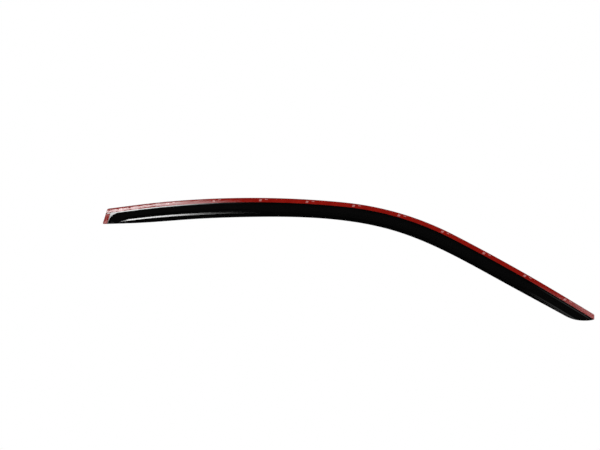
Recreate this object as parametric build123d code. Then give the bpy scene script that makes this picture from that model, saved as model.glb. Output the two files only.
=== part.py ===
from build123d import *

import math
import os

# Window rain deflector for the left-hand front door of a car, with its adhesive tape.
# Frame: +X to the front of the car, +Y outwards from the door, +Z up, in millimetres and degrees.
# The origin is on the exposed face of the tape liner, at the middle of the top tape's width,
# under the highest point of the top edge.

# Top edge, from the rear corner to the front tip: a straight, three tangent arcs and a straight
rear_straight = 48.0
crown_radius = 1835.0
crown_rear_angle = 7.4
crown_front_angle = 5.7
shoulder_radius = 600.0
shoulder_angle = 21.5
pillar_radius = 3650.0
pillar_angle = 3.98
tip_straight = 65.0

# Height of the band, square to the top edge, from the rear to the front
band_at_crown_start = 34.8
band_at_crown_rear = 38.2
band_at_crown = 37.6
band_at_shoulder_start = 35.5
band_at_shoulder_middle = 36.1
band_at_shoulder_end = 36.2
band_at_pillar_middle = 35.8
band_before_tip = 31.2

# Ends of the trimmed outline
rear_edge_length = 31.8
rear_lean = 18.0
rear_lower_rise = 2.0
rear_top_corner = 4.0
rear_bottom_corner = 2.0
tip_approach = 43.0
tip_height = 9.5
tip_corner = 2.0

# Section of the formed sheet
wall = 2.5
bulge_depth = 14.0
crease_drop = 25.5
lip_angle = 12.0
rear_wall_run = 12.0
bend_radius = 2.0
crease_radius = 10.0
edge_round = 0.6

# Adhesive tape, and the clear flange between it and the bends
tape_width = 8.0
tape_margin = 0.4
tape_tip_margin = 0.4
tape_gap = 1.6
top_clearance = 4.6
rear_clearance = 2.6
foam_thickness = 1.1
liner_thickness = 0.12

# Surplus of the formed sheet around the outline that is trimmed from it
surplus = 30.0
sheet_drop = 60.0

flange_inner = liner_thickness + foam_thickness
flange_outer = flange_inner + wall
crease_depth = flange_inner + bulge_depth
crown_height = tape_margin + tape_width / 2
taped_width = tape_margin + tape_width
top_flange = taped_width + top_clearance
rear_flange = taped_width + rear_clearance
outward = Vector(0, 1, 0)


def ahead(heading):
    angle = math.radians(heading)
    return Vector(math.cos(angle), 0, math.sin(angle))


def below(heading):
    return ahead(heading - 90)


def top_edge_arcs():
    arcs = []
    heading = crown_rear_angle
    start = Vector(0, 0, crown_height - crown_radius) - below(heading) * crown_radius
    for radius, turn in (
        (crown_radius, crown_rear_angle + crown_front_angle),
        (shoulder_radius, shoulder_angle),
        (pillar_radius, pillar_angle),
    ):
        centre = start + below(heading) * radius
        end = centre - below(heading - turn) * radius
        arcs.append({"start": start, "centre": centre, "end": end,
                     "radius": radius, "heading": heading, "turn": turn})
        start = end
        heading -= turn
    return arcs, heading


arcs, tip_heading = top_edge_arcs()
crown, shoulder, pillar = arcs
rear_heading = crown["heading"]
rear_top = crown["start"] - ahead(rear_heading) * rear_straight
rear_down = -ahead(90 - rear_lean)
rear_inward = ahead(-rear_lean)
rear_bottom = rear_top + rear_down * rear_edge_length
tip_top = pillar["end"] + ahead(tip_heading) * tip_straight
tip_bottom = tip_top - Vector(0, 0, tip_height)


def on_arc(arc, turned, drop, depth=0.0):
    return arc["centre"] - below(arc["heading"] - turned) * (arc["radius"] - drop) + outward * depth


pillar_middle = on_arc(pillar, pillar_angle / 2, band_at_pillar_middle)
before_tip = tip_top - ahead(tip_heading) * tip_approach + below(tip_heading) * band_before_tip
descent = (before_tip - pillar_middle).normalized()
tip_arc = TangentArc(before_tip, tip_bottom, tangent=descent)
tip_inward = (tip_arc % 1).rotate(Axis.Y, -90)


def nearest_edge(shape, point):
    return shape.edges().sort_by_distance(point)[0]


# A profile is drawn as the drop below the top edge and the depth outwards.
def polygon(*points):
    return make_face(Polyline(*points, close=True))


def placed(profile, point, heading):
    return Plane(origin=point, x_dir=below(heading), z_dir=ahead(heading)) * profile


def along_rear(profile):
    return extrude(placed(profile, crown["start"], rear_heading), -(rear_straight + surplus))


def along_front(profile):
    run = extrude(placed(profile, pillar["end"], tip_heading), tip_straight + surplus)
    for arc in arcs:
        face = placed(profile, arc["start"], arc["heading"])
        run += revolve(face, axis=Axis(arc["centre"], outward), revolution_arc=arc["turn"])
    return run


def flat_strip(from_drop, to_drop, from_depth, to_depth):
    profile = polygon(
        (from_drop, from_depth), (to_drop, from_depth), (to_drop, to_depth), (from_drop, to_depth)
    )
    return along_rear(profile) + along_front(profile)


def bulge_form(offset, base):
    # The filled form of the bulge, from the base out to the sheet's inner face, or to a face that is
    # offset from it. A sloping wall closes its rear end, where three folds meet at a rounded peak.
    slope = Vector(crease_drop - top_flange, bulge_depth)
    lip = Vector(1, -math.tan(math.radians(lip_angle)))
    slope_side = slope.normalized().rotate(Axis.Z, 90)
    lip_side = lip.normalized().rotate(Axis.Z, 90)
    crease = Vector(crease_drop, crease_depth) + (slope_side + lip_side) * (
        offset / (1 + slope_side.dot(lip_side))
    )
    mouth = crease - slope * ((crease.Y - base) / slope.Y)
    lip_end = crease + lip * (sheet_drop - crease.X)
    sharp = polygon(mouth, crease, lip_end, Vector(sheet_drop, base))
    rounded = fillet(sharp.vertices().sort_by_distance(crease)[0], crease_radius + offset)

    rear_side = (rear_inward * bulge_depth - outward * rear_wall_run).normalized()
    rear_foot = rear_top + rear_inward * rear_flange + outward * flange_inner - rear_side * offset
    rear = split(along_rear(sharp), Plane(origin=rear_foot, z_dir=rear_side), keep=Keep.TOP)
    peak = rear.vertices().group_by(Axis.Y)[-1].sort_by(Axis.X)[0]
    folds = rear.edges().sort_by_distance(peak)[:3]
    return fillet(folds, crease_radius + offset) + along_front(rounded)


def formed_sheet():
    sheet = flat_strip(-surplus, sheet_drop, flange_inner, flange_outer)
    sheet += bulge_form(wall, flange_inner)
    sheet -= bulge_form(0, flange_inner - wall)
    bend = on_arc(crown, crown_rear_angle, top_flange, flange_inner)
    sheet = fillet(nearest_edge(sheet, bend), bend_radius + wall)
    return fillet(nearest_edge(sheet, bend + outward * wall), bend_radius)


def outline_prism():
    lower_edge = Spline(
        rear_bottom,
        on_arc(crown, 0, band_at_crown_start),
        on_arc(crown, crown_rear_angle / 2, band_at_crown_rear),
        on_arc(crown, crown_rear_angle, band_at_crown),
        on_arc(shoulder, 0, band_at_shoulder_start),
        on_arc(shoulder, shoulder_angle / 2, band_at_shoulder_middle),
        on_arc(pillar, 0, band_at_shoulder_end),
        pillar_middle,
        before_tip,
        tangents=(ahead(rear_lower_rise), descent),
    )
    upper_edge = [ThreePointArc(arc["start"], on_arc(arc, arc["turn"] / 2, 0), arc["end"]) for arc in arcs]
    front_end = Polyline(pillar["end"], tip_top, tip_bottom)
    rear_end = Polyline(rear_bottom, rear_top, crown["start"])
    outline = make_face([*upper_edge, front_end, tip_arc, lower_edge, rear_end])
    prism = extrude(outline, 2 * crease_depth, dir=outward)
    for corner, radius in (
        (tip_top, tip_corner),
        (tip_bottom, tip_corner),
        (rear_top, rear_top_corner),
        (rear_bottom, rear_bottom_corner),
    ):
        prism = fillet(nearest_edge(prism, corner + outward * crease_depth), radius)
    return prism


def visor_shell():
    # The rim's outer edge, which shows on the car, is rounded all the way round.
    shell = formed_sheet() & outline_prism()
    return fillet(nearest_edge(shell, on_arc(crown, crown_rear_angle, 0, flange_outer)), edge_round)


def cut_beyond(strip, point, inner_side):
    return split(strip, Plane(origin=point, z_dir=inner_side), keep=Keep.TOP)


def top_tape(from_depth, to_depth):
    strip = flat_strip(tape_margin, taped_width, from_depth, to_depth)
    strip = cut_beyond(strip, rear_top + rear_inward * tape_margin, rear_inward)
    strip = cut_beyond(strip, tip_top - Vector(tape_tip_margin, 0, 0), Vector(-1, 0, 0))
    strip = cut_beyond(strip, tip_bottom + tip_inward * tape_tip_margin, tip_inward)
    corner = rear_top + outward * ((from_depth + to_depth) / 2)
    return fillet(nearest_edge(strip, corner), rear_top_corner - tape_margin)


def rear_tape(from_depth, to_depth):
    near_edge = rear_top + rear_inward * tape_margin + outward * from_depth
    far_edge = near_edge + rear_inward * tape_width
    reach = rear_down * rear_edge_length
    face = make_face(Polyline(near_edge, far_edge, far_edge + reach, near_edge + reach, close=True))
    strip = extrude(face, to_depth - from_depth, dir=outward)
    start = rear_top + below(rear_heading) * (taped_width + tape_gap)
    strip = cut_beyond(strip, start, below(rear_heading))
    lower_side = -below(rear_lower_rise)
    strip = cut_beyond(strip, rear_bottom + lower_side * tape_margin, lower_side)
    corner = rear_bottom + outward * ((from_depth + to_depth) / 2)
    return fillet(nearest_edge(strip, corner), rear_bottom_corner - tape_margin)


nodes = {
    "visor_shell": visor_shell(),
    "top_foam_tape": top_tape(liner_thickness, flange_inner),
    "top_tape_liner": top_tape(0, liner_thickness),
    "rear_foam_tape": rear_tape(liner_thickness, flange_inner),
    "rear_tape_liner": rear_tape(0, liner_thickness),
}

os.makedirs("parts", exist_ok=True)
for name, solid in nodes.items():
    export_step(solid, f"parts/{name}.step")
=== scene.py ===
import math

import bpy
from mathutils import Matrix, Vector
from mathutils.geometry import interpolate_bezier


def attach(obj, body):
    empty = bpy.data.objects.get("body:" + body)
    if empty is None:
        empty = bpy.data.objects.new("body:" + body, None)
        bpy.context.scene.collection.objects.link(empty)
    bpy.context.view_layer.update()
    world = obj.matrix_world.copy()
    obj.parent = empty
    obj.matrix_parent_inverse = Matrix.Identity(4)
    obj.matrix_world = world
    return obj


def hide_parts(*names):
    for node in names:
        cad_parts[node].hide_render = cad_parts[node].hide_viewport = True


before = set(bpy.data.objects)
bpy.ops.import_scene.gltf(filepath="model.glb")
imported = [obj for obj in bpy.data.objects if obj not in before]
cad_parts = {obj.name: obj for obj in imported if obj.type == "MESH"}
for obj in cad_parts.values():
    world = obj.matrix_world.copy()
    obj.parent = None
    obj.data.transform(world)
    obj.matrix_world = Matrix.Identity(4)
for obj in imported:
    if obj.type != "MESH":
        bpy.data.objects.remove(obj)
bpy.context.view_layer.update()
bpy.ops.object.select_all(action="DESELECT")
scene = bpy.context.scene
scene.view_settings.view_transform = "Standard"
mm = 0.001
white = (1, 1, 1, 1)
black = (0, 0, 0, 1)
print("frame loaded:", ", ".join(sorted(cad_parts)))

# the arm's top edge from the rear corner to the front tip, in mm and degrees: a straight, three tangent
# arcs, each a radius and a turn, and a straight
arm = {
    "crownHeight": 4.4,
    "rearStraight": 48.0,
    "rearHeading": 7.4,
    "arcs": ((1835.0, 13.1), (600.0, 21.5), (3650.0, 3.98)),
    "tipStraight": 65.0,
}


def ahead(heading):
    return Vector((math.cos(math.radians(heading)), math.sin(math.radians(heading))))


def below(heading):
    return ahead(heading - 90)


def onRun(run, along, drop):
    heading = run["heading"]
    if not run["radius"]:
        return run["start"] + ahead(heading) * along + below(heading) * drop, heading
    centre = run["start"] + below(heading) * run["radius"]
    heading -= math.degrees(along / run["radius"])
    return centre - below(heading) * (run["radius"] - drop), heading


def layRuns():
    heading = arm["rearHeading"]
    crownRadius = arm["arcs"][0][0]
    start = Vector((0, arm["crownHeight"] - crownRadius)) - below(heading) * crownRadius
    rearStart = start - ahead(heading) * arm["rearStraight"]
    laid = [{"start": rearStart, "heading": heading, "length": arm["rearStraight"], "radius": 0}]
    for radius, turn in arm["arcs"]:
        length = radius * math.radians(turn)
        laid.append({"start": start, "heading": heading, "length": length, "radius": radius})
        start, heading = onRun(laid[-1], length, 0)
    laid.append({"start": start, "heading": heading, "length": arm["tipStraight"], "radius": 0})
    return laid


runs = layRuns()
armLength = sum(run["length"] for run in runs)
tipHeading = runs[-1]["heading"]


def armPoint(along, drop=0):
    for run in runs[:-1]:
        if along < run["length"]:
            return onRun(run, along, drop)[0]
        along -= run["length"]
    return onRun(runs[-1], along, drop)[0]


# how far along the arm a point lies, and how far below its top edge
def armPlace(point):
    passed = 0
    for run in runs:
        offset = point - run["start"]
        forward, down = ahead(run["heading"]), below(run["heading"])
        along, drop = offset.dot(forward), offset.dot(down)
        if run["radius"]:
            spoke = offset - down * run["radius"]
            along = run["radius"] * math.atan2(spoke.dot(forward), -spoke.dot(down))
            drop = run["radius"] - spoke.length
        if along <= run["length"] or run is runs[-1]:
            return passed + along, drop
        passed += run["length"]


# the trimmed outline, in mm and degrees: where along the arm its band has which height, its two ends,
# and how finely its lower edge is drawn
trim = {
    "bands": (
        (48, 34.8), (166.5, 38.2), (285, 37.6), (467.6, 35.5), (580.1, 36.1), (692.7, 36.2), (819.5, 35.8),
    ),
    "rearEdge": 31.8,
    "rearLean": 18.0,
    "rearRise": 2.0,
    "tipApproach": 43.0,
    "bandBeforeTip": 31.2,
    "tipHeight": 9.5,
    "relaxings": 60,
    "spanPoints": 60,
    "arcSteps": 40,
}
rearTop = armPoint(0)
rearDown = -ahead(90 - trim["rearLean"])
rearInward = ahead(-trim["rearLean"])
rearBottom = rearTop + rearDown * trim["rearEdge"]
tipTop = armPoint(armLength)
tipBottom = tipTop - Vector((0, trim["tipHeight"]))


# how far in from the rear edge a point lies
def insetOf(point):
    return (point - rearTop).dot(rearInward)


# a smooth curve through the heights of the band, then an arc up to the tip; also the heading at its end
def lowerEdge():
    knots = [rearBottom] + [armPoint(along, band) for along, band in trim["bands"]]
    knots.append(armPoint(armLength - trim["tipApproach"], trim["bandBeforeTip"]))
    spans = [(after - before).length for before, after in zip(knots, knots[1:])]
    slopes = [(after - before) / span for before, after, span in zip(knots, knots[1:], spans)]
    tangents = [ahead(trim["rearRise"])] + slopes[1:] + slopes[-1:]
    for relaxing in range(trim["relaxings"]):
        for i in range(1, len(knots) - 1):
            pull = 3 * (spans[i] * slopes[i - 1] + spans[i - 1] * slopes[i])
            pull -= spans[i] * tangents[i - 1] + spans[i - 1] * tangents[i + 1]
            tangents[i] = pull / (2 * (spans[i - 1] + spans[i]))
    points = []
    for i, span in enumerate(spans):
        leaving = knots[i] + tangents[i] * span / 3
        arriving = knots[i + 1] - tangents[i + 1] * span / 3
        points += interpolate_bezier(knots[i], leaving, arriving, knots[i + 1], trim["spanPoints"])[:-1]
    chord = tipBottom - knots[-1]
    heading = math.degrees(math.atan2(slopes[-1].y, slopes[-1].x))
    lift = math.degrees(math.atan2(chord.y, chord.x)) - heading
    radius = chord.length / (2 * math.sin(math.radians(lift)))
    centre = knots[-1] - below(heading) * radius
    for step in range(trim["arcSteps"] + 1):
        points.append(centre + below(heading + 2 * lift * step / trim["arcSteps"]) * radius)
    return points, heading + 2 * lift


def spacedAlong(points, shares):
    lengths = [0.0]
    for before, after in zip(points, points[1:]):
        lengths.append(lengths[-1] + (after - before).length)
    spaced, i = [], 0
    for share in shares:
        goal = share * lengths[-1]
        while i < len(points) - 2 and lengths[i + 1] < goal:
            i += 1
        beyond = (goal - lengths[i]) / (lengths[i + 1] - lengths[i])
        spaced.append(points[i].lerp(points[i + 1], beyond))
    return spaced


# how fast the steps along the arm grow, and how far the wide quads at its two ends reach, in mm
quads = {"growth": 1.15, "rearReach": 25.0, "tipReach": 15.0}


# shares of the arm in steps that grow from the first quad to the longest step, and shrink to the last quad
def stationShares(stations):
    halfLength = armLength / 2
    ends = []
    for cell in (stations["rearCell"], stations["tipCell"]):
        at, step, half = cell, stations["nearStep"], [0.0, cell]
        while at < halfLength:
            if at > stations["nearReach"]:
                step = min(step * quads["growth"], stations["longStep"])
            at += step
            half.append(at)
        ends.append([at * halfLength / half[-1] if at > stations["nearReach"] else at for at in half])
    rear, front = ends
    return [at / armLength for at in rear] + [1 - at / armLength for at in reversed(front[:-1])]


# the width of the quads along the rim, which are wider at the ends, where corners are rounded
def rimCells(rearCell, armCell, tipCell):
    def cellAt(share):
        rear = max(0, 1 - share * armLength / quads["rearReach"])
        tip = max(0, 1 - (1 - share) * armLength / quads["tipReach"])
        return armCell + (rearCell - armCell) * rear + (tipCell - armCell) * tip

    return cellAt


def startEdit(selectMode):
    bpy.ops.object.mode_set(mode="EDIT")
    bpy.ops.mesh.select_mode(type=selectMode)
    bpy.ops.mesh.select_all(action="DESELECT")


# a sheet of quads for each of two faces, between two lines, joined round its rim
def pressSheet(name, topLine, bottomLine, rows, cellAt, faces):
    columns = len(topLine) - 1
    halves = []
    for face, depthAt in faces.items():
        bpy.ops.mesh.primitive_grid_add(x_subdivisions=columns, y_subdivisions=rows, size=1)
        half = bpy.context.object
        rim = []
        for vertex in half.data.vertices:
            column = round((vertex.co.x + 0.5) * columns)
            row = round((vertex.co.y + 0.5) * rows)
            across = bottomLine[column] - topLine[column]
            margin = cellAt(column / columns) / across.length
            share = margin + (row - 1) / (rows - 2) * (1 - 2 * margin)
            if row in (0, rows):
                share = row / rows
            if row in (0, rows) or column in (0, columns):
                rim.append(vertex.index)
            point = topLine[column] + across * share
            vertex.co = Vector((point.x, depthAt(point), point.y)) * mm
        half.vertex_groups.new(name=face).add(rim, 1.0, "REPLACE")
        halves.append(half)
    halves[0].select_set(True)
    bpy.ops.object.join()
    sheet = bpy.context.object
    sheet.name = sheet.data.name = name
    startEdit("EDGE")
    bpy.ops.mesh.select_non_manifold(extend=False, use_wire=False, use_boundary=True, use_multi_face=False,
                                     use_non_contiguous=False, use_verts=False)
    bpy.ops.mesh.bridge_edge_loops()
    bpy.ops.mesh.select_all(action="SELECT")
    bpy.ops.mesh.normals_make_consistent(inside=False)
    bpy.ops.object.mode_set(mode="OBJECT")
    return sheet


# rounds the upright edge of the rim at a corner of the outline
def roundCorner(sheet, corner, firstSide, secondSide, radius, segments):
    half = firstSide.angle(secondSide) / 2
    tolerance = 0.01  # mm
    startEdit("EDGE")
    bpy.ops.object.mode_set(mode="OBJECT")
    vertices = sheet.data.vertices
    for edge in sheet.data.edges:
        ends = [vertices[i].co for i in edge.vertices]
        edge.select = all((Vector((end.x, end.z)) / mm - corner).length < tolerance for end in ends)
    bpy.ops.object.mode_set(mode="EDIT")
    bpy.ops.mesh.bevel(offset=radius / math.tan(half) * mm, segments=segments, affect="EDGES")
    bpy.ops.object.mode_set(mode="OBJECT")


# rounds the edge of one face all the way round the rim
def roundRim(sheet, face, width, segments):
    startEdit("VERT")
    sheet.vertex_groups.active = sheet.vertex_groups[face]
    bpy.ops.object.vertex_group_select()
    bpy.ops.mesh.select_mode(type="EDGE")
    bpy.ops.mesh.bevel(offset=width * mm, segments=segments, affect="EDGES")
    bpy.ops.object.mode_set(mode="OBJECT")


# the shell, in mm and degrees: the section of its inner face, which the outer face follows a wall away,
# the quads that it is pressed in, and its rounded corners and edges, each a size and a count of segments
visor = {
    "flangeDepth": 1.22,
    "wall": 2.5,
    "topFlange": 13.0,
    "rearFlange": 13.0,
    "bulgeDepth": 14.0,
    "rearWallRun": 12.0,
    "lipAngle": 12.0,
    "creaseDrop": 24.2,  # at the rear
    "creaseFall": 0.0074,  # for each mm along the arm
    "fallReach": 180.0,
    "creaseRadius": 10.0,
    "cornerRadius": 36.0,
    "bendRadius": 3.6,
    # the narrow strip between crease and lip: nearly level, and twisted at its rear end
    "land": {
        "depth": 13.13,
        "fall": 0.0009,  # for each mm along the arm
        "middleDrop": 27.5,
        "tilt": 0.7,
        "tiltFall": 0.0042,
        "twist": -2.0,
        "untwists": (12.0, 38.0),  # from and to, along the arm
        "runsOut": (250.0, 420.0),
        "radius": 4.0,
        "thinning": 0.045,  # share of the wall
    },
    "stations": {"rearCell": 3.2, "tipCell": 1.8, "nearStep": 1.1, "nearReach": 55, "longStep": 5},
    "rows": 66,
    "rimCells": (3.2, 0.9, 1.8),  # at the rear, along the arm and at the tip
    "rearTopCorner": (4.0, 8),
    "rearBottomCorner": (2.0, 8),
    "tipCorner": (2.0, 6),
    "outerEdge": (0.6, 4),
    "innerEdge": (0.15, 2),
}
land = visor["land"]
creaseLow = visor["creaseDrop"] + visor["creaseFall"] * visor["fallReach"]
panelSlope = visor["bulgeDepth"] / (creaseLow - visor["topFlange"])
wallSlope = visor["bulgeDepth"] / visor["rearWallRun"]
lipSlope = math.tan(math.radians(visor["lipAngle"]))
panelRise = below(arm["rearHeading"]) * panelSlope
wallRise = rearInward * wallSlope
lipRise = below(arm["rearHeading"]) * -lipSlope
landRise = below(arm["rearHeading"]) * -math.tan(math.radians(land["tilt"]))


# the lower of two sloping planes with their fold rounded by a cylinder; each rise is a plane's gradient
def foldRounder(firstRise, secondRise, radius):
    spread = firstRise - secondRise
    across = spread.normalized()
    climb = firstRise.dot(Vector((-across.y, across.x)))
    stretch = math.sqrt(1 + climb * climb)
    first, second = firstRise.dot(across), secondRise.dot(across)
    firstSlant, secondSlant = math.hypot(1, first / stretch), math.hypot(1, second / stretch)
    centre = radius * (firstSlant - secondSlant) * stretch / (first - second)
    height = first / stretch * centre - radius * firstSlant
    start = centre - radius * first / stretch / firstSlant
    end = centre - radius * second / stretch / secondSlant

    def rounded(firstHeight, secondHeight):
        place = (firstHeight - secondHeight) / spread.length
        if not start < place < end:
            return min(firstHeight, secondHeight)
        arc = height + math.sqrt(radius * radius - (place - centre) ** 2)
        return firstHeight - first * place + stretch * arc

    return rounded


# how far a value has come from a start to an end, from 0 to 1
def shareOfWay(value, start, end):
    return min(max((value - start) / (end - start), 0), 1)


def landAt(along, reach, drop):
    tilt = land["tilt"] - land["tiltFall"] * reach
    tilt += land["twist"] * (1 - shareOfWay(along, *land["untwists"]))
    depth = land["depth"] - land["fall"] * reach
    return depth - math.tan(math.radians(tilt)) * (drop - land["middleDrop"])


# the depth of the formed sheet's inner face at a point, or of a face that is offset from it
def formedFace(offset):
    corner = foldRounder(panelRise, wallRise, visor["cornerRadius"] + offset)
    crease = foldRounder(panelRise, lipRise, visor["creaseRadius"] + offset)
    landCrease = foldRounder(panelRise, landRise, land["radius"] + offset)
    landLip = foldRounder(landRise, lipRise, land["radius"] + offset)
    bend = foldRounder(-panelRise, Vector((0, 0)), visor["bendRadius"] + visor["wall"] - offset)

    def raised(slope):
        return offset * (math.hypot(1, slope) - 1)

    def depthAt(point):
        along, drop = armPlace(point)
        reach = min(max(along, 0), visor["fallReach"])
        creaseDrop = visor["creaseDrop"] + visor["creaseFall"] * reach
        slope = visor["bulgeDepth"] / (creaseDrop - visor["topFlange"])
        panel = slope * (drop - visor["topFlange"]) + raised(slope)
        rearWall = wallSlope * (insetOf(point) - visor["rearFlange"]) + raised(wallSlope)
        lip = visor["bulgeDepth"] - lipSlope * (drop - creaseDrop) + raised(lipSlope)
        level = landAt(along, reach, drop) - land["thinning"] * offset
        sides = corner(panel, rearWall)
        landed = landLip(landCrease(sides, level), lip)
        plainShare = shareOfWay(along, *land["runsOut"])
        bulge = landed * (1 - plainShare) + crease(sides, lip) * plainShare
        return visor["flangeDepth"] + offset - bend(-bulge, 0)

    return depthAt


bottomPoints, tipLineHeading = lowerEdge()
shellShares = stationShares(visor["stations"])
shell = pressSheet(
    "formedShell",
    [armPoint(share * armLength) for share in shellShares],
    spacedAlong(bottomPoints, shellShares),
    visor["rows"],
    rimCells(*visor["rimCells"]),
    {"innerFace": formedFace(0), "outerFace": formedFace(visor["wall"])},
)
roundCorner(shell, rearTop, rearDown, ahead(arm["rearHeading"]), *visor["rearTopCorner"])
roundCorner(shell, rearBottom, -rearDown, ahead(trim["rearRise"]), *visor["rearBottomCorner"])
roundCorner(shell, tipTop, -ahead(tipHeading), Vector((0, -1)), *visor["tipCorner"])
roundCorner(shell, tipBottom, Vector((0, 1)), -ahead(tipLineHeading), *visor["tipCorner"])
roundRim(shell, "outerFace", *visor["outerEdge"])
roundRim(shell, "innerFace", *visor["innerEdge"])
print("shell formed:", len(shell.data.polygons), "faces")

# the red film on both tapes, in mm, and the length after which its print repeats
liner = {
    "margin": 0.4,
    "tipMargin": 0.4,
    "width": 8.0,
    "gap": 1.6,
    "thickness": 0.12,
    "printRepeat": 92.0,
}
farSide = liner["margin"] + liner["width"]


def filmBack(point):
    return liner["thickness"]


def wrapPrint(sheet, placeOn):
    wrap = sheet.data.uv_layers.new(name="alongTape")
    for loop in sheet.data.loops:
        co = sheet.data.vertices[loop.vertex_index].co / mm
        along, across = placeOn(Vector((co.x, co.z)))
        wrap.data[loop.index].uv = (along / liner["printRepeat"], (across - liner["margin"]) / liner["width"])


# the long film sinks between its edges, and towards the tip it tilts instead, in mm
longFilm = {
    "edgeDepth": 0.02,
    "hollow": 0.045,
    "pucker": 0.012,
    "rippleLengths": (5.1, 23.0),
    "slantedRipple": {"share": 0.6, "length": 3.3, "skew": 2},
    "tipTilt": 0.09,
    "tiltStarts": 150.0,  # before the tip
    "tiltFull": 45.0,
    "stations": {"rearCell": 2.6, "tipCell": 1.6, "nearStep": 1.6, "nearReach": 20, "longStep": 3},
    "rows": 12,
    "rimCells": (2.6, 0.5, 0.5),
    "rearCorner": (3.6, 8),  # radius and segments
}


def hollowFace(point):
    along, drop = armPlace(point)
    across = (drop - liner["margin"]) / liner["width"] * 2 - 1
    short, long = longFilm["rippleLengths"]
    slanted = longFilm["slantedRipple"]
    ripple = math.sin(along / short) * math.sin(along / long)
    ripple += slanted["share"] * math.sin(along / slanted["length"] + across * slanted["skew"])
    hollow = (longFilm["hollow"] + longFilm["pucker"] * ripple) * (1 - across * across)
    tilt = longFilm["tipTilt"] * (1 - across) / 2
    tipShare = shareOfWay(along, armLength - longFilm["tiltStarts"], armLength - longFilm["tiltFull"])
    return longFilm["edgeDepth"] + hollow * (1 - tipShare) + tilt * tipShare


# how far beyond a start a line at a drop below the top edge meets a cut through a point
def alongAtCut(heading, origin, drop, cutPoint, cutNormal):
    start = origin + below(heading) * drop
    return (cutPoint - start).dot(cutNormal) / ahead(heading).dot(cutNormal)


def topFilmLine(drop):
    rearCut = rearTop + rearInward * liner["margin"]
    frontCut = tipTop - Vector((liner["tipMargin"], 0))
    start = alongAtCut(arm["rearHeading"], rearTop, drop, rearCut, rearInward)
    end = armLength + alongAtCut(tipHeading, tipTop, drop, frontCut, Vector((1, 0)))
    return [armPoint(start + (end - start) * share, drop) for share in stationShares(longFilm["stations"])]


# cuts off what lies outside a line through a point of the outline
def trimBeyond(point, inward):
    bpy.ops.object.mode_set(mode="EDIT")
    bpy.ops.mesh.select_all(action="SELECT")
    bpy.ops.mesh.bisect(plane_co=(point.x * mm, 0, point.y * mm), plane_no=(inward.x, 0, inward.y),
                        use_fill=True, clear_inner=True, threshold=0.001 * mm)
    bpy.ops.object.mode_set(mode="OBJECT")


topFilm = pressSheet(
    "topFilm",
    topFilmLine(liner["margin"]),
    topFilmLine(farSide),
    longFilm["rows"],
    rimCells(*longFilm["rimCells"]),
    {"innerFace": hollowFace, "outerFace": filmBack},
)
filmCorner = topFilmLine(liner["margin"])[0]
roundCorner(topFilm, filmCorner, rearDown, ahead(arm["rearHeading"]), *longFilm["rearCorner"])
tipLineInward = ahead(tipLineHeading + 90)
trimBeyond(tipBottom + tipLineInward * liner["tipMargin"], tipLineInward)
wrapPrint(topFilm, armPlace)

# the short film leans a little, so its lower end lies deeper, in mm
shortFilm = {
    "upperDepth": 0.01,
    "lean": 0.14,
    "firstColumn": 0.34,  # share of the width, wide enough for the corner
    "columnStep": 0.08,
    "rows": 14,
    "rimCell": 2.6,
    "lowerCorner": (1.6, 8),  # radius and segments
}


def leaningFace(point):
    reach = (armPlace(point)[1] - farSide) / trim["rearEdge"]
    return shortFilm["upperDepth"] + shortFilm["lean"] * reach


def rearFilmLine(cutPoint, cutNormal):
    ends = []
    for inset in (liner["margin"], farSide):
        start = rearTop + rearInward * inset
        ends.append(start + rearDown * (cutPoint - start).dot(cutNormal) / rearDown.dot(cutNormal))
    columns = round((1 - shortFilm["firstColumn"]) / shortFilm["columnStep"])
    shares = [shortFilm["firstColumn"] + shortFilm["columnStep"] * i for i in range(columns)]
    return [ends[0].lerp(ends[1], share) for share in (0, *shares, 1)]


def rearPlace(point):
    return armPlace(point)[1], insetOf(point)


upperNormal = below(arm["rearHeading"])
lowerNormal = below(trim["rearRise"])
upperLine = rearFilmLine(rearTop + upperNormal * (farSide + liner["gap"]), upperNormal)
lowerLine = rearFilmLine(rearBottom - lowerNormal * liner["margin"], lowerNormal)
rearFilm = pressSheet(
    "rearFilm",
    upperLine,
    lowerLine,
    shortFilm["rows"],
    lambda share: shortFilm["rimCell"],
    {"innerFace": leaningFace, "outerFace": filmBack},
)
roundCorner(rearFilm, lowerLine[0], -rearDown, ahead(trim["rearRise"]), *shortFilm["lowerCorner"])
wrapPrint(rearFilm, rearPlace)
print("films laid:", len(topFilm.data.polygons), "and", len(rearFilm.data.polygons), "faces")


# a noise that changes over a surface, between two values; its middle part is spread over the whole range
noiseDetail = 3
noiseMiddle = (0.3, 0.7)


def grainGroup():
    group = bpy.data.node_groups.new("surfaceGrain", "ShaderNodeTree")
    group.interface.new_socket("Place", in_out="INPUT", socket_type="NodeSocketVector")
    for name in ("Scale", "Low", "High"):
        group.interface.new_socket(name, in_out="INPUT", socket_type="NodeSocketFloat")
    group.interface.new_socket("Value", in_out="OUTPUT", socket_type="NodeSocketFloat")
    entry = group.nodes.new("NodeGroupInput")
    leaving = group.nodes.new("NodeGroupOutput")
    noise = group.nodes.new("ShaderNodeTexNoise")
    noise.inputs["Detail"].default_value = noiseDetail
    span = group.nodes.new("ShaderNodeMapRange")
    span.inputs["From Min"].default_value, span.inputs["From Max"].default_value = noiseMiddle
    group.links.new(entry.outputs["Place"], noise.inputs["Vector"])
    group.links.new(entry.outputs["Scale"], noise.inputs["Scale"])
    group.links.new(noise.outputs["Fac"], span.inputs["Value"])
    group.links.new(entry.outputs["Low"], span.inputs["To Min"])
    group.links.new(entry.outputs["High"], span.inputs["To Max"])
    group.links.new(span.outputs["Result"], leaving.inputs["Value"])
    return group


grain = grainGroup()


def newMaterial(name):
    material = bpy.data.materials.new(name)
    material.use_nodes = True
    tree = material.node_tree
    return material, tree, tree.nodes["Principled BSDF"]


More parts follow.
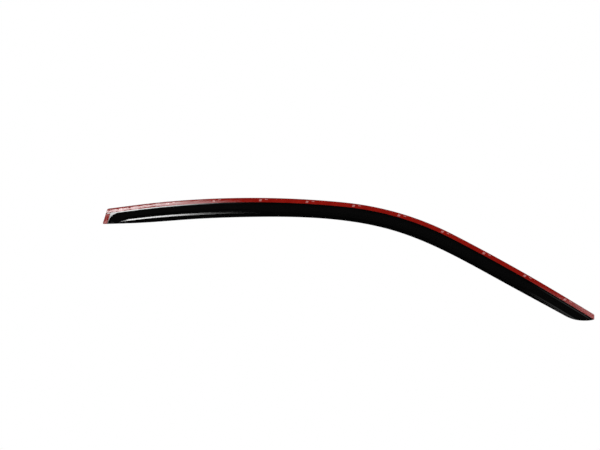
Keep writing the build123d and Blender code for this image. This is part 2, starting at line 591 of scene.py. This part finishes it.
def objectPlace(tree):
    return tree.nodes.new("ShaderNodeTexCoord").outputs["Object"]


def addGrain(tree, place, scale, low=0.0, high=1.0):
    node = tree.nodes.new("ShaderNodeGroup")
    node.node_tree = grain
    node.inputs["Scale"].default_value = scale
    node.inputs["Low"].default_value = low
    node.inputs["High"].default_value = high
    tree.links.new(place, node.inputs["Place"])
    return node.outputs["Value"]


def addMix(tree, mask, first, second):
    mix = tree.nodes.new("ShaderNodeMix")
    mix.data_type = "RGBA"
    colours = [socket for socket in mix.inputs if socket.type == "RGBA"]
    for socket, colour in zip(colours, (first, second)):
        if isinstance(colour, tuple):
            socket.default_value = (*colour, 1)
        else:
            tree.links.new(colour, socket)
    tree.links.new(mask, mix.inputs["Factor"])
    return [socket for socket in mix.outputs if socket.type == "RGBA"][0]


def addMath(tree, operation, *values):
    node = tree.nodes.new("ShaderNodeMath")
    node.operation = operation
    for socket, value in zip(node.inputs, values):
        if isinstance(value, (int, float)):
            socket.default_value = value
        else:
            tree.links.new(value, socket)
    return node.outputs["Value"]


def addBump(tree, shader, height, distance):
    bump = tree.nodes.new("ShaderNodeBump")
    bump.inputs["Strength"].default_value = 1.0
    bump.inputs["Distance"].default_value = distance
    tree.links.new(height, bump.inputs["Height"])
    tree.links.new(bump.outputs["Normal"], shader.inputs["Normal"])


# heights of bumps are in m, and scales of grain are for each m
acrylic = {
    "dark": (0.0007, 0.0007, 0.0008),
    "light": (0.0014, 0.0013, 0.0013),
    "cloudScale": 30,
    "refraction": 1.49,
    "gloss": (0.05, 0.10),
    "glossScale": 14,
    "waves": 0.000012,
    "waveScale": 45,
}


def makeAcrylic():
    material, tree, shader = newMaterial("smokedAcrylic")
    place = objectPlace(tree)
    shader.inputs["IOR"].default_value = acrylic["refraction"]
    clouds = addGrain(tree, place, acrylic["cloudScale"])
    tree.links.new(addMix(tree, clouds, acrylic["dark"], acrylic["light"]), shader.inputs["Base Color"])
    gloss = addGrain(tree, place, acrylic["glossScale"], *acrylic["gloss"])
    tree.links.new(gloss, shader.inputs["Roughness"])
    addBump(tree, shader, addGrain(tree, place, acrylic["waveScale"]), acrylic["waves"])
    return material


foam = {
    "dark": (0.012, 0.012, 0.013),
    "light": (0.035, 0.035, 0.037),
    "speckScale": 1800,
    "roughness": 0.92,
    "cells": 0.00008,
    "cellScale": 3200,
}


def makeFoam():
    material, tree, shader = newMaterial("tapeFoam")
    place = objectPlace(tree)
    shader.inputs["Roughness"].default_value = foam["roughness"]
    specks = addGrain(tree, place, foam["speckScale"])
    tree.links.new(addMix(tree, specks, foam["dark"], foam["light"]), shader.inputs["Base Color"])
    addBump(tree, shader, addGrain(tree, place, foam["cellScale"]), foam["cells"])
    return material


# a tick is its middle and half its size, along the repeat of the print and across the film
film = {
    "deep": (0.27, 0.0062, 0.0032),
    "bright": (0.35, 0.0105, 0.0055),
    "cloudScale": 60,
    "specular": 0.27,
    "gloss": (0.045, 0.085),
    "glossScale": 90,
    "pucker": 0.000008,
    "puckerScale": 120,
    "print": (0.55, 0.20, 0.19),
    "slant": 0.03,
    "bar": {"along": (0.30, 0.026), "across": (0.52, 0.26)},
    "dash": {"along": (0.42, 0.03), "across": (0.30, 0.1)},
}


def addTicks(tree):
    wrap = tree.nodes.new("ShaderNodeUVMap")
    wrap.uv_map = "alongTape"
    split = tree.nodes.new("ShaderNodeSeparateXYZ")
    tree.links.new(wrap.outputs["UV"], split.inputs["Vector"])
    across = split.outputs["Y"]
    slanted = addMath(tree, "MULTIPLY_ADD", across, film["slant"], split.outputs["X"])
    along = addMath(tree, "FRACT", slanted)
    ticks = []
    for tick in (film["bar"], film["dash"]):
        inLength = addMath(tree, "COMPARE", along, *tick["along"])
        inWidth = addMath(tree, "COMPARE", across, *tick["across"])
        ticks.append(addMath(tree, "MULTIPLY", inLength, inWidth))
    return addMath(tree, "MAXIMUM", *ticks)


def makeFilm():
    material, tree, shader = newMaterial("linerFilm")
    place = objectPlace(tree)
    shader.inputs["Specular IOR Level"].default_value = film["specular"]
    red = addMix(tree, addGrain(tree, place, film["cloudScale"]), film["deep"], film["bright"])
    tree.links.new(addMix(tree, addTicks(tree), red, film["print"]), shader.inputs["Base Color"])
    gloss = addGrain(tree, place, film["glossScale"], *film["gloss"])
    tree.links.new(gloss, shader.inputs["Roughness"])
    addBump(tree, shader, addGrain(tree, place, film["puckerScale"]), film["pucker"])
    return material


smoothAngle = 40
filmMaterial = makeFilm()
for piece, node, slot, material in (
    (shell, "visor_shell", "smoked_acrylic", makeAcrylic()),
    (topFilm, "top_tape_liner", "liner_film", filmMaterial),
    (rearFilm, "rear_tape_liner", "liner_film", filmMaterial),
):
    piece.data.materials.clear()
    piece.data.materials.append(material)
    bpy.ops.object.select_all(action="DESELECT")
    piece.select_set(True)
    bpy.context.view_layer.objects.active = piece
    bpy.ops.object.shade_smooth_by_angle(angle=math.radians(smoothAngle))
    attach(piece, "root")
    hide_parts(node)
foamMaterial = makeFoam()
for name in ("top_foam_tape", "rear_foam_tape"):
    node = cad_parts[name]
    node.data.materials.clear()
    node.data.materials.append(foamMaterial)
print("materials set")

view = {"lens": 72.0, "sensor": 36.0, "at": (0.09484, -2.359, -0.04906)}
camera = bpy.data.objects.new("photoCamera", bpy.data.cameras.new("photoCamera"))
scene.collection.objects.link(camera)
camera.data.lens = view["lens"]
camera.data.sensor_width = view["sensor"]
camera.location = view["at"]
camera.rotation_euler = (math.pi / 2, 0, 0)
scene.camera = camera


# one strength for what the camera sees, directly, in a reflection or through a surface, and one for the rest
def addStrength(tree, unseen, seen):
    path = tree.nodes.new("ShaderNodeLightPath")
    mirrored = addMath(tree, "MAXIMUM", path.outputs["Is Camera Ray"], path.outputs["Is Glossy Ray"])
    shown = addMath(tree, "MAXIMUM", mirrored, path.outputs["Is Transmission Ray"])
    pick = tree.nodes.new("ShaderNodeMix")
    pick.inputs["A"].default_value = unseen
    pick.inputs["B"].default_value = seen
    tree.links.new(shown, pick.inputs["Factor"])
    return pick.outputs["Result"]


# the pale studio, in m: ambient light and a floor
studio = {
    "ambient": 0.7,
    "floorHeight": -0.75,
    "floorRadius": 1.3,
    "floorSides": 96,
    "floorColour": (0.8, 0.8, 0.8),
    "floorGlow": 0.55,
}
world = bpy.data.worlds.new("paleStudio")
scene.world = world
world.use_nodes = True
background = world.node_tree.nodes["Background"]
background.inputs["Color"].default_value = white
ambient = addStrength(world.node_tree, studio["ambient"], 1.0)
world.node_tree.links.new(ambient, background.inputs["Strength"])

bpy.ops.mesh.primitive_circle_add(vertices=studio["floorSides"], radius=studio["floorRadius"],
                                  fill_type="NGON", location=(view["at"][0], 0, studio["floorHeight"]))
floor = bpy.context.object
floor.name = "paleFloor"
floorMaterial, tree, shader = newMaterial("paleFloor")
shader.inputs["Base Color"].default_value = (*studio["floorColour"], 1)
shader.inputs["Roughness"].default_value = 1.0
shader.inputs["Specular IOR Level"].default_value = 0.0
shader.inputs["Emission Color"].default_value = white
tree.links.new(addStrength(tree, 0.0, studio["floorGlow"]), shader.inputs["Emission Strength"])
floor.data.materials.append(floorMaterial)


def newGlow(name):
    material, tree, shader = newMaterial(name)
    shader.inputs["Base Color"].default_value = black
    shader.inputs["Specular IOR Level"].default_value = 0.0
    shader.inputs["Emission Color"].default_value = white
    return material, tree, shader


# softboxes, in m: place and lean as the camera sees them, how far they stand ahead of the camera, whether
# they light dull surfaces too, and where they dim along their own width or height, from nothing to full
softboxes = {
    "softboxFlange": {
        "centre": (-0.6, 0.075), "size": (0.7, 0.11), "ahead": 0, "lean": 0, "radiance": 29.0, "lights": True,
        "fades": (("X", 0.29, 0.0), ("Y", -0.046, -0.033)),
    },
    "softboxFilm": {
        "centre": (-0.4, 0.19), "size": (0.44, 0.2), "ahead": 0, "lean": 0, "radiance": 10.0, "lights": False,
        "fades": (("X", 0.18, -0.03), ("X", -0.22, -0.1)),
    },
    "softboxTip": {
        "centre": (1.08, -0.215), "size": (0.5, 0.12), "ahead": 0, "lean": 36, "radiance": 7.0,
        "lights": False, "fades": (("X", -0.19, 0.15), ("Y", -0.06, 0.0)),
    },
    "softboxTipCrease": {
        "centre": (0.47, -0.406), "size": (0.17, 0.25), "ahead": 1.959, "lean": 22, "radiance": 0.75,
        "lights": False, "fades": (("X", -0.08, 0.03), ("Y", -0.13, -0.05)),
    },
}


# a value that goes smoothly from 0 to 1 between two places
def addFade(tree, place, start, end):
    fade = tree.nodes.new("ShaderNodeMapRange")
    fade.interpolation_type = "SMOOTHSTEP"
    fade.inputs["From Min"].default_value = start
    fade.inputs["From Max"].default_value = end
    tree.links.new(place, fade.inputs["Value"])
    return fade.outputs["Result"]


for name, softbox in softboxes.items():
    bpy.ops.mesh.primitive_plane_add(size=1)
    panel = bpy.context.object
    panel.name = name
    bpy.ops.object.mode_set(mode="EDIT")
    bpy.ops.transform.resize(value=(*softbox["size"], 1))
    bpy.ops.object.mode_set(mode="OBJECT")
    right, up = softbox["centre"]
    panel.location = Vector(view["at"]) + Vector((right, softbox["ahead"], up))
    panel.rotation_euler = (math.pi / 2, math.radians(softbox["lean"]), 0)
    panel.visible_camera = panel.visible_shadow = panel.visible_transmission = False
    panel.visible_diffuse = softbox["lights"]
    material, tree, shader = newGlow(name)
    split = tree.nodes.new("ShaderNodeSeparateXYZ")
    tree.links.new(objectPlace(tree), split.inputs["Vector"])
    strength = softbox["radiance"]
    for axis, start, end in softbox["fades"]:
        strength = addMath(tree, "MULTIPLY", addFade(tree, split.outputs[axis], start, end), strength)
    tree.links.new(strength, shader.inputs["Emission Strength"])
    panel.data.materials.append(material)

# cards that only reflections show, in m
cards = {
    "cardRight": {"centre": (1.7, 0.3, -0.71), "size": (1.6, 1.0), "facing": (0, 0, 1), "radiance": 0.35},
    "cardBehindCamera": {"centre": (0, -3.2, 0.3), "size": (8, 4.6), "facing": (0, 1, 0), "radiance": 0.012},
    "cardBelow": {"centre": (0, -0.85, -0.72), "size": (6, 4.7), "facing": (0, 0, 1), "radiance": 0.035},
}
for name, card in cards.items():
    bpy.ops.mesh.primitive_plane_add(size=1, location=card["centre"])
    panel = bpy.context.object
    panel.name = name
    panel.scale = (*card["size"], 1)
    panel.rotation_euler = Vector(card["facing"]).to_track_quat("Z", "Y").to_euler()
    panel.visible_camera = panel.visible_shadow = panel.visible_transmission = panel.visible_diffuse = False
    material, tree, shader = newGlow(name)
    shader.inputs["Emission Strength"].default_value = card["radiance"]
    panel.data.materials.append(material)
print("studio set")
